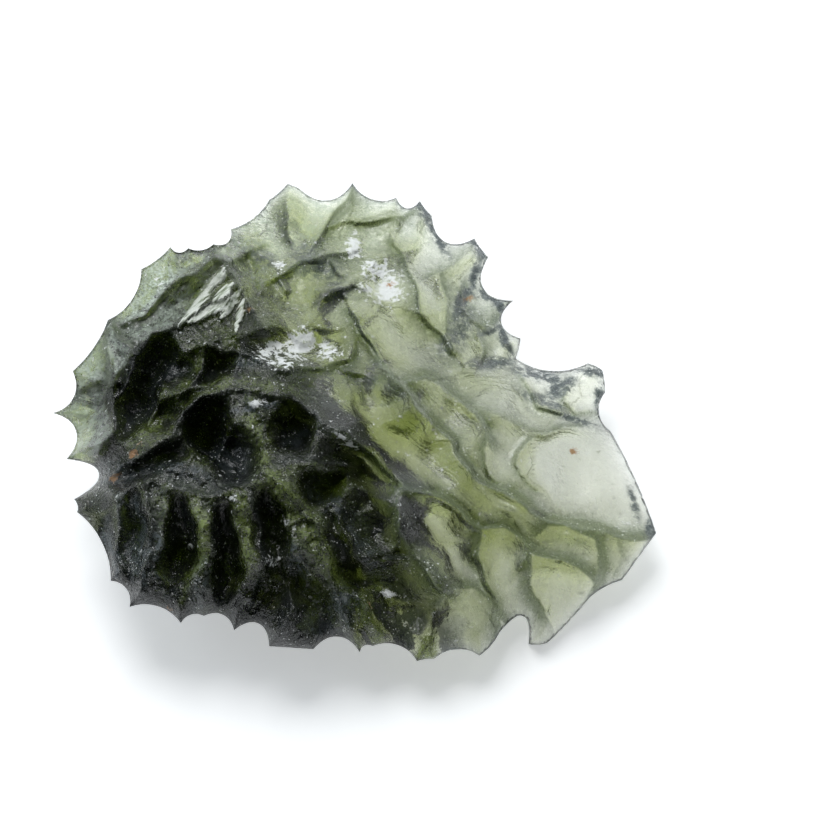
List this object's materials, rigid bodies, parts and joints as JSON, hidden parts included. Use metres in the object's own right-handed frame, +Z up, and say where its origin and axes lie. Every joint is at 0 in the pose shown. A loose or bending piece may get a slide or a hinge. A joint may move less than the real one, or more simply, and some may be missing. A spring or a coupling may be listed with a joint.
{
  "type": "moldavite",
  "caption": "Etched fragment of natural green glass, thick and deeply pitted on one side, thinning to a pale translucent lobe, with a jagged rim.",
  "frame": {"origin": "centre of the bounding box in plan, on the surface the stone lies on", "axes": "+Z up from the surface the stone lies on, +X from the thick body to the thin lobe, +Y from the lower rim to the upper lobe"},
  "size_m": [0.0335, 0.0318, 0.0104],
  "materials": {
    "moldavite": "natural green glass, etched satin surface, see-through where thin and nearly black where thick"
  },
  "bodies": {
    "root": {"moldavite": "moldavite"}
  },
  "joints": []
}
